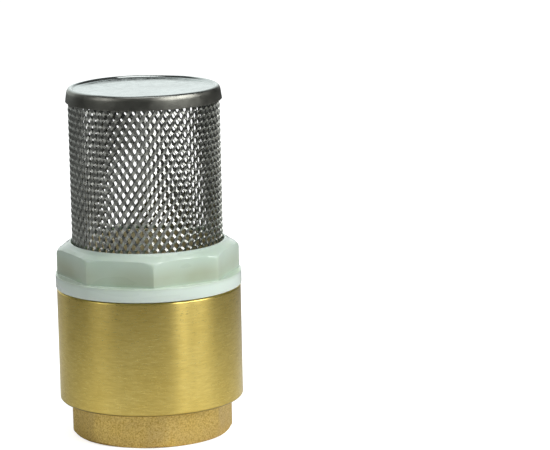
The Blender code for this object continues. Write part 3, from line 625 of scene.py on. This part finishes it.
def nut_piece():
    """The nut: flange, soft octagon, collar round the strainer, thread, seat, hub and ribs."""
    flange_bottom = SEAT_TOP
    flange_top = flange_bottom + FLANGE_T
    octagon_top = COLLAR_TOP - COLLAR_H
    corner_r = NUT_APOTHEM / math.cos(math.pi / 8)
    core_r = NUT_MINOR_R - 0.2 * MM
    skirt_bottom = SEAT_Z + 0.3 * MM
    thread_top = BODY_TOP - 1.6 * MM
    ridge_low = skirt_bottom + 1.8 * MM
    ridge_high = thread_top - PIPE_PITCH / 2
    upper_start = skirt_bottom - 0.7 * MM
    undercut_r = -RING_LOW.x - (RING_HIGH.z - RING_LOW.z) - 0.1 * MM
    bore_r = core_r - 2.5 * MM
    throat_r = 13.7 * MM
    web_top = skirt_bottom + 2.2 * MM
    pocket_floor = COLLAR_TOP - 3.0 * MM
    pocket_in = MESH_R - 1.2 * MM
    pocket_out = MESH_R + 0.25 * MM
    cup_r = 17.45 * MM
    spacing = PIPE_PITCH / THREAD_ROWS
    corner_blend = 0.12 * MM
    line = rounded(
        [
            (pocket_out + 0.42 * MM, COLLAR_TOP, 0.25 * MM),
            (pocket_out + 1.2 * MM, octagon_top, 0.45 * MM),
            (corner_r - 0.45 * MM, octagon_top - 1.15 * MM, 0.6 * MM),
            (corner_r, octagon_top - 2.0 * MM, 0.5 * MM),
            (corner_r, flange_top + 0.6 * MM, 0.2 * MM),
            (corner_r, flange_top, 0.5 * MM),
            (FLANGE_R, flange_top, 1.25 * MM),
            (FLANGE_R, flange_bottom, 0.35 * MM),
            (undercut_r, flange_bottom, 0.15 * MM),
            (undercut_r, thread_top + 0.2 * MM + undercut_r - core_r, 0.1 * MM),
            *rows(core_r, thread_top + 0.2 * MM, skirt_bottom + 0.3 * MM, spacing),
            (core_r - 0.3 * MM, skirt_bottom, 0.1 * MM),
            (throat_r + 1.2 * MM, skirt_bottom, 0.1 * MM),
            (throat_r + 0.9 * MM, SEAT_Z, 0.2 * MM),
            (throat_r, SEAT_Z, 0.3 * MM),
            (throat_r, web_top, 0.4 * MM),
            (bore_r, web_top, 0.6 * MM),
            (bore_r, pocket_floor - 0.67 * MM, 0.3 * MM),
            (cup_r, pocket_floor, 0.3 * MM),
            (cup_r, COLLAR_TOP - 0.8 * MM, 0.2 * MM),
            (pocket_in, COLLAR_TOP - 0.8 * MM, 0.15 * MM),
            (pocket_in, pocket_floor, 0.1 * MM),
            (pocket_out, pocket_floor, 0.1 * MM),
            (pocket_out, COLLAR_TOP, 0.15 * MM),
        ]
    )

    def form(r, z, a):
        head = (z > flange_top - 0.01 * MM) & (r > pocket_out + 0.3 * MM) & (r < corner_r + 0.4 * MM)
        side = octagon_r(a, NUT_APOTHEM, NUT_TURN)
        flat = corner_r - soft_min(corner_r, side, corner_blend)
        foot = head & (z < flange_top + 0.55 * MM)
        wall = head & ~foot
        r = np.where(foot, r - flat, np.where(wall, soft_min(r, side, corner_blend), r))
        screw = (z > skirt_bottom + 0.2 * MM) & (z < thread_top + 0.4 * MM) & (r > bore_r + 1 * MM)
        height = THREAD_DEPTH * thread(a, z, upper_start) * fade(z, ridge_low, ridge_high, 0.6 * MM)
        return np.where(screw, np.maximum(r, core_r + height), r), z

    nut = lathe("nut_nylon", line, FINE, form, start=NUT_TURN)
    hub_low, hub_high = web_top + 1.8 * MM, web_top + 8.8 * MM
    hub = lathe(
        "hub",
        rounded(
            [
                (HUB_R, hub_high, 0.3 * MM),
                (HUB_R, hub_low, 0.3 * MM),
                (STEM_BORE_R, hub_low, 0.3 * MM),
                (STEM_BORE_R, hub_high, 0.3 * MM),
            ]
        ),
        SMALL,
    )
    middle = (hub_low + hub_high) / 2
    arm_low, arm_high = middle - 2 * MM, middle + 2 * MM
    arms = [
        bar(f"arm_{i}", ARM_INNER_R, bore_r + 0.6 * MM, ARM_W, arm_low, arm_high, 2 * math.pi * i / 3)
        for i in range(3)
    ]
    merged(nut, [*arms, hub])
    wear(nut, nut_nylon(), olive_nylon())
    # The inner faces take the olive nylon, whose warm tint is painted shade and painted brass-warmed
    # light.
    paint_faces(nut, 1, lambda r, z: (r < pocket_in + 0.1 * MM) & (z > web_top - 0.1 * MM))
    return place(nut, "strainer", "strainer_nut", "nut_nylon")


# ---------------------------------------------------------------- strainer tube


def tube_piece():
    """Expanded metal rolled into a tube with a lapped seam; each strand is twisted a little."""
    middle_r = MESH_R - SHEET_T / 2 - STRAND_TILT - 0.02 * MM
    pitch = 2 * math.pi / HOLE_COLUMNS
    width = pitch * middle_r
    slant = math.hypot(width, HOLE_PITCH_Z)
    half_w = (width / 2 - STRAND_W / 2 * slant / HOLE_PITCH_Z) / middle_r
    half_h = HOLE_PITCH_Z / 2 - STRAND_W / 2 * slant / width
    half_rows = int((MESH_HIGH.z - MESH_LOW.z - 2 * half_h) / (HOLE_PITCH_Z / 2)) + 1
    first_z = (MESH_LOW.z + MESH_HIGH.z) / 2 - HOLE_PITCH_Z / 4 * (half_rows - 1)
    columns = HOLE_COLUMNS + SEAM_LAP
    steps = HOLE_SIDE_STEPS
    verts, faces = [], []

    def radius(column):
        """The sheet steps inward just before it passes under its own first edge."""
        share = min(max((column - HOLE_COLUMNS + 2) / 2, 0.0), 1.0)
        return middle_r - SEAM_STEP * share * share * (3 - 2 * share)

    def point(column, side, z):
        """A point by its column; side runs from -1 at a hole's left to 1 at its right."""
        angle = SEAM_AZIMUTH + pitch * column
        r = radius(column) + STRAND_TILT * side
        verts.append((r * math.cos(angle), r * math.sin(angle), z))
        return len(verts) - 1

    def edge(column, z, side_x, side_z):
        """One side of a hole, from its top or bottom tip to its left or right corner."""
        spots = []
        for step in range(steps + 1):
            turn = math.pi / 2 * step / steps
            x = side_x * math.sin(turn) ** HOLE_POWER
            y = side_z * math.cos(turn) ** HOLE_POWER
            spots.append((column + x * half_w / pitch, x, z + y * half_h))
        return spots

    def hole(row, column):
        z = first_z + HOLE_PITCH_Z / 2 * row
        middle = column + 0.5 * (row % 2)
        made = {}
        for name, side_x, side_z in (("ur", 1, 1), ("ul", -1, 1), ("lr", 1, -1), ("ll", -1, -1)):
            made[name] = edge(middle, z, side_x, side_z)
        ids = {}

        def shared(spot):
            """The corner that two sides of the hole meet in is made once."""
            key = tuple(round(v, 9) for v in spot)
            if key not in ids:
                ids[key] = point(*spot)
            return ids[key]

        return {name: [shared(spot) for spot in line] for name, line in made.items()}

    holes = [[hole(row, column) for column in range(columns)] for row in range(half_rows)]

    def strand(first, second):
        """The strip of sheet between two holes."""
        for i in range(steps):
            faces.append((first[i], first[i + 1], second[i + 1], second[i]))

    for row in range(half_rows):
        shift = row % 2
        for column in range(columns):
            here = holes[row][column]
            right = holes[row][column + 1] if column + 1 < columns else None
            up = column + shift
            above = holes[row + 1][up] if row + 1 < half_rows and up < columns else None
            below = holes[row - 1][up] if row > 0 and up < columns else None
            if above:
                strand(here["ur"], above["ll"][::-1])
            if above and right:
                strand(above["lr"], right["ul"][::-1])
            bond = [
                below["ul"][0] if below else None,
                right["ul"][-1] if right else None,
                above["ll"][0] if above else None,
                here["ur"][-1],
            ]
            bond = [v for v in bond if v is not None]
            if len(bond) > 2:
                faces.append(tuple(bond))
    tube = new_mesh("strainer_tube", verts, faces, 180)
    bm = bmesh.new()
    bm.from_mesh(tube.data)
    loose = [v for v in bm.verts if not v.link_faces]
    bmesh.ops.delete(bm, geom=loose, context="VERTS")
    bmesh.ops.recalc_face_normals(bm, faces=bm.faces)
    bm.to_mesh(tube.data)
    bm.free()
    sheet = tube.modifiers.new("sheet", "SOLIDIFY")
    sheet.thickness = SHEET_T
    sheet.offset = 0.0
    applied(tube)
    tube.data.shade_flat()
    wear(tube, strand_steel())
    return place(tube, "strainer", "strainer_mesh", "mesh_steel")


def lid_piece():
    """The pressed lid: recessed floor, narrow bright crest and a slightly flared skirt."""
    sheet = 0.3 * MM
    crest_r = LID_R - 1.35 * MM
    floor_z = LID_HIGH.z - 0.75 * MM
    foot_r = crest_r - 0.8 * MM
    flat_r = foot_r - 2.0 * MM
    shoulder_r = LID_R - 0.38 * MM
    outer = [
        (0.0, floor_z, 0.0),
        (flat_r, floor_z, 0.8 * MM),
        (foot_r, floor_z + 0.14 * MM, 0.4 * MM),
        (crest_r - 0.3 * MM, LID_HIGH.z - 0.08 * MM, 0.25 * MM),
        (crest_r, LID_HIGH.z, 0.25 * MM),
        (shoulder_r - 0.4 * MM, LID_HIGH.z - 0.25 * MM, 0.35 * MM),
        (shoulder_r, LID_HIGH.z - 1.0 * MM, 0.5 * MM),
        (LID_R, LID_LOW.z, 0.1 * MM),
    ]
    inner = [
        (LID_R - sheet, LID_LOW.z, 0.1 * MM),
        (shoulder_r - sheet, LID_HIGH.z - 1.1 * MM, 0.3 * MM),
        (shoulder_r - 0.4 * MM - sheet, LID_HIGH.z - 0.3 * MM - sheet, 0.3 * MM),
        (crest_r, LID_HIGH.z - sheet, 0.2 * MM),
        (foot_r, floor_z + 0.14 * MM - sheet, 0.3 * MM),
        (flat_r, floor_z - sheet, 0.5 * MM),
        (0.0, floor_z - sheet, 0.0),
    ]
    line = rounded([*outer, *inner], closed=False)

    def form(r, z, a):
        wobble = 0.05 * MM * (np.sin(3 * a + 0.7) + 0.6 * np.sin(7 * a + 2.1))
        near = np.clip((r - flat_r) / (2 * MM), 0, 1) * np.clip((LID_R - 0.3 * MM - r) / MM, 0, 1)
        return r, z - np.abs(wobble) * near

    lid = lathe("strainer_cap", line, ROUND, form, closed=False)
    wear(lid, lid_steel())
    return place(lid, "strainer", "strainer_lid", "lid_steel")


def ring_piece():
    """The O-ring under the nut's flange."""
    section = (RING_HIGH.z - RING_LOW.z) / 2
    middle_r = RING_HIGH.x - section
    middle_z = (RING_HIGH.z + RING_LOW.z) / 2
    turns = [2 * math.pi * i / 24 for i in range(24)]
    line = np.array([(middle_r + section * math.sin(t), middle_z + section * math.cos(t)) for t in turns])
    ring = lathe("ring_rubber", line, ROUND)
    wear(ring, rubber("ring_rubber"))
    return place(ring, "nut_seal", "nut_o_ring", "ring_rubber")


# ---------------------------------------------------------------- guide, poppet and spring


def guide_piece():
    """A flanged ring on the body's ledge with four ribs, the hub and the spring's seat."""
    seat_z = GUIDE_HIGH.z - 1.7 * MM
    skirt_r = 14.35 * MM
    inner_r = skirt_r - 1.2 * MM
    skirt_bottom = seat_z - 1.8 * MM
    ring = lathe(
        "guide_nylon",
        rounded(
            [
                (inner_r, seat_z + 1.5 * MM, 0.3 * MM),
                (GUIDE_HIGH.x, seat_z + 1.5 * MM, 0.3 * MM),
                (GUIDE_HIGH.x, seat_z, 0.2 * MM),
                (skirt_r, seat_z, 0.15 * MM),
                (skirt_r, skirt_bottom, 0.3 * MM),
                (inner_r, skirt_bottom, 0.3 * MM),
            ]
        ),
        ROUND,
    )
    hub = lathe(
        "hub",
        rounded(
            [
                (HUB_R, GUIDE_HIGH.z, 0.3 * MM),
                (HUB_R, seat_z, 0.3 * MM),
                (6.35 * MM, seat_z, 0.2 * MM),
                (6.35 * MM, skirt_bottom, 0.3 * MM),
                (HUB_R, GUIDE_LOW.z, 0.3 * MM),
                (STEM_BORE_R, GUIDE_LOW.z, 0.2 * MM),
                (STEM_BORE_R, GUIDE_HIGH.z, 0.3 * MM),
            ]
        ),
        SMALL,
    )
    arms = [
        bar(f"arm_{i}", ARM_INNER_R, inner_r + 0.5 * MM, ARM_W, skirt_bottom, seat_z, math.pi / 2 * i)
        for i in range(4)
    ]
    merged(ring, [*arms, hub])
    wear(ring, nylon("guide_nylon", (0.80, 0.81, 0.74), (0.72, 0.73, 0.66)).material)
    return place(ring, "housing", "stem_guide", "guide_nylon")


def seal_piece():
    edge = 0.35 * MM
    line = rounded(
        [
            (4.2 * MM, SEAL_HIGH.z, 0.15 * MM),
            (SEAL_R, SEAL_HIGH.z, edge),
            (SEAL_R, SEAL_LOW.z, edge),
            (4.2 * MM, SEAL_LOW.z, 0.15 * MM),
        ]
    )
    seal = lathe("seal_rubber", line, ROUND)
    wear(seal, rubber("seal_rubber"))
    return place(seal, "poppet", "poppet_seal", "seal_rubber")


def base_piece():
    """The poppet's downstream half, with the socket, the spring boss and the lower stem."""
    top = BASE_HIGH.z
    bottom = top - 1.4 * MM
    plate_r = BASE_HIGH.x
    tip = BASE_LOW.z
    boss_bottom = GUIDE_HIGH.z + 0.2 * MM + LIFT
    line = rounded(
        [
            (0.0, top - 5.2 * MM, 0.0),
            (1.75 * MM, top - 5.2 * MM, 0.1 * MM),
            (1.75 * MM, top, 0.2 * MM),
            (plate_r, top, 0.25 * MM),
            (plate_r, bottom - 0.5 * MM, 0.25 * MM),
            (plate_r - 2.0 * MM, bottom - 0.5 * MM, 0.2 * MM),
            (plate_r - 2.5 * MM, bottom, 0.3 * MM),
            (HUB_R, bottom, 0.5 * MM),
            (HUB_R, boss_bottom + 1.9 * MM, 0.3 * MM),
            (STEM_R, boss_bottom, 0.3 * MM),
            (STEM_R, tip + 0.5 * MM, 0.2 * MM),
            (2.0 * MM, tip, 0.2 * MM),
            (0.0, tip, 0.0),
        ],
        closed=False,
    )
    base = lathe("poppet_base_nylon", line, ROUND, closed=False)
    wear(base, nylon("poppet_nylon", (0.82, 0.82, 0.76), (0.75, 0.75, 0.68)).material)
    return place(base, "poppet", "poppet_base", "poppet_nylon")


def head_piece():
    """The poppet's upstream half: a low cone, the upper stem and the spigot."""
    top = HEAD_HIGH.z
    plate_bottom = SEAL_HIGH.z + 0.2 * MM
    plate_top = plate_bottom + 1.2 * MM
    line = rounded(
        [
            (0.0, top, 0.0),
            (2.0 * MM, top, 0.2 * MM),
            (STEM_R, top - 0.5 * MM, 0.2 * MM),
            (STEM_R, plate_top + 2.4 * MM, 1.2 * MM),
            (HEAD_HIGH.x, plate_top, 0.3 * MM),
            (HEAD_HIGH.x, plate_bottom, 0.2 * MM),
            (3.95 * MM, plate_bottom, 0.1 * MM),
            (3.95 * MM, BASE_HIGH.z + 0.2 * MM, 0.1 * MM),
            (1.6 * MM, BASE_HIGH.z + 0.2 * MM, 0.1 * MM),
            (1.6 * MM, HEAD_LOW.z, 0.2 * MM),
            (0.0, HEAD_LOW.z, 0.0),
        ],
        closed=False,
    )
    head = lathe("poppet_head_nylon", line, ROUND, closed=False)
    wear(head, bpy.data.materials["poppet_nylon"])
    return place(head, "poppet", "poppet_head", "poppet_nylon")


def spring_piece():
    """Round wire: a closed coil at each end and open coils between."""
    wire = 0.45 * MM
    coils = 5
    around, section = 48, 12
    coil_r = SPRING_HIGH.x - wire
    low, high = SPRING_LOW.z + wire, SPRING_HIGH.z - wire
    closed_rise = 2.1 * wire
    open_rise = (high - low - 2 * closed_rise) / (coils - 2)
    verts, faces = [], []
    count = coils * around
    for i in range(count + 1):
        turn = i / around
        rise = closed_rise * min(turn, 1) + closed_rise * max(turn - coils + 1, 0)
        z = low + rise + open_rise * min(max(turn - 1, 0), coils - 2)
        a = 2 * math.pi * turn
        for k in range(section):
            t = 2 * math.pi * k / section
            r = coil_r + wire * math.cos(t)
            verts.append((r * math.cos(a), r * math.sin(a), z + wire * math.sin(t)))
    for i in range(count):
        for k in range(section):
            n = (k + 1) % section
            faces.append((i * section + k, (i + 1) * section + k, (i + 1) * section + n, i * section + n))
    faces.append(tuple(range(section)))
    faces.append(tuple(count * section + k for k in reversed(range(section))))
    spring = new_mesh("spring_wire", verts, faces)
    wear(spring, wire_steel())
    place(spring, "housing", "return_spring", "spring_steel")
    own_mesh(spring)
    return spring


# ---------------------------------------------------------------- studio


def studio_floor():
    """A wide pale floor. What it reflects and bounces is brightest close to the valve."""
    side = 3.0
    verts = [(x, y, 0.0) for x, y in ((-side, -side), (side, -side), (side, side), (-side, side))]
    floor = new_mesh("studio_floor", verts, [(0, 1, 2, 3)])
    floor.location.z = -0.0001
    paint = Paint("studio_floor", (0.93, 0.93, 0.93), 0.0, 0.9)
    distance = paint.add("ShaderNodeVectorMath", operation="LENGTH")
    paint.link(paint.position(), distance.inputs[0])
    far = paint.spread(distance.outputs["Value"], *FLOOR_REACH, 0.0, 1.0)
    bounce = paint.mix(far, (FLOOR_NEAR,) * 3, (FLOOR_FAR,) * 3)
    seen = paint.add("ShaderNodeLightPath").outputs["Is Camera Ray"]
    grain = paint.mix(paint.noise(40.0, 2.0), (0.92, 0.92, 0.92), (0.95, 0.95, 0.95))
    paint.color(paint.mix(seen, bounce, grain))
    paint.shader.inputs["Emission Color"].default_value = (1.0, 1.0, 1.0, 1.0)
    paint.link(paint.math("MULTIPLY", seen, FLOOR_GLOW), paint.shader.inputs["Emission Strength"])
    wear(floor, paint.material)


def direction(azimuth, elevation):
    """Azimuth 0 is on the camera's side, and + is to its right."""
    a, e = math.radians(azimuth), math.radians(elevation)
    return Vector((math.sin(a) * math.cos(e), -math.cos(a) * math.cos(e), math.sin(e)))


def soft_light(name, azimuth, elevation, distance, width, height, power):
    """A white softbox that faces the valve."""
    data = bpy.data.lights.new(name, "AREA")
    data.shape = "RECTANGLE"
    data.size, data.size_y = width, height
    data.energy = power
    light = bpy.data.objects.new(name, data)
    bpy.context.scene.collection.objects.link(light)
    middle = Vector((0.0, 0.0, 0.045))
    toward = direction(azimuth, elevation)
    light.location = middle + distance * toward
    light.rotation_euler = toward.to_track_quat("Z", "Y").to_euler()
    light.visible_camera = False


def studio_world(azimuth, elevation, dark, bright):
    """A dim studio with one bright, faintly blue wall, and a plain white backdrop behind the valve."""
    world = bpy.data.worlds.new("studio")
    world.use_nodes = True
    tree = world.node_tree
    toward = tree.nodes.new("ShaderNodeVectorMath")
    toward.operation = "DOT_PRODUCT"
    toward.inputs[1].default_value = direction(azimuth, elevation)
    tree.links.new(tree.nodes.new("ShaderNodeTexCoord").outputs["Generated"], toward.inputs[0])
    ramp = tree.nodes.new("ShaderNodeMapRange")
    ramp.interpolation_type = "SMOOTHSTEP"
    for socket, number in zip(ramp.inputs[1:5], (*WALL_REACH, dark, bright)):
        socket.default_value = number
    tree.links.new(toward.outputs["Value"], ramp.inputs[0])
    back = tree.nodes["Background"]
    back.inputs["Color"].default_value = (0.94, 1.0, 0.99, 1.0)
    tree.links.new(ramp.outputs[0], back.inputs["Strength"])
    sheet = tree.nodes.new("ShaderNodeBackground")
    sheet.inputs["Color"].default_value = (1.0, 1.0, 1.0, 1.0)
    sheet.inputs["Strength"].default_value = BACKDROP_GLOW
    seen = tree.nodes.new("ShaderNodeMixShader")
    tree.links.new(tree.nodes.new("ShaderNodeLightPath").outputs["Is Camera Ray"], seen.inputs[0])
    tree.links.new(back.outputs[0], seen.inputs[1])
    tree.links.new(sheet.outputs[0], seen.inputs[2])
    tree.links.new(seen.outputs[0], tree.nodes["World Output"].inputs["Surface"])
    bpy.context.scene.world = world


def camera():
    """A long lens from a little above; the valve stands left of the middle of the frame."""
    distance = 0.765
    elevation = math.radians(11.52)
    roll = math.radians(-1.17)
    aim_right, aim_up = 0.03265, 0.00642
    target = Vector((0.0, 0.0, 0.046))
    back = Vector((0.0, -math.cos(elevation), math.sin(elevation)))
    up = Vector((0.0, math.sin(elevation), math.cos(elevation)))
    aim = target + Vector((aim_right, 0.0, 0.0)) + up * aim_up
    data = bpy.data.cameras.new("camera")
    data.lens = 195.9
    data.sensor_width = 36.0
    data.clip_start = 0.01
    made = bpy.data.objects.new("camera", data)
    bpy.context.scene.collection.objects.link(made)
    made.location = target + back * distance
    turn = (made.location - aim).to_track_quat("Z", "Y").to_matrix().to_4x4()
    made.rotation_euler = (turn @ Matrix.Rotation(roll, 4, "Z")).to_euler()
    bpy.context.scene.camera = made


body_piece()
nut_piece()
tube_piece()
lid_piece()
ring_piece()
guide_piece()
seal_piece()
base_piece()
head_piece()
spring_piece()

studio_floor()
studio_world(-165, 15, 0.05, 1.10)
soft_light("key_near", 43, 34, 1.2, 0.20, 0.7, 4.6)
soft_light("key_far", 71, 34, 1.2, 0.50, 0.7, 6.8)
soft_light("fill", -67, 30, 1.3, 0.60, 0.7, 2.4)
soft_light("top", 15, 78, 1.2, 0.9, 0.5, 2.6)
camera()
bpy.context.scene.view_settings.view_transform = "Standard"
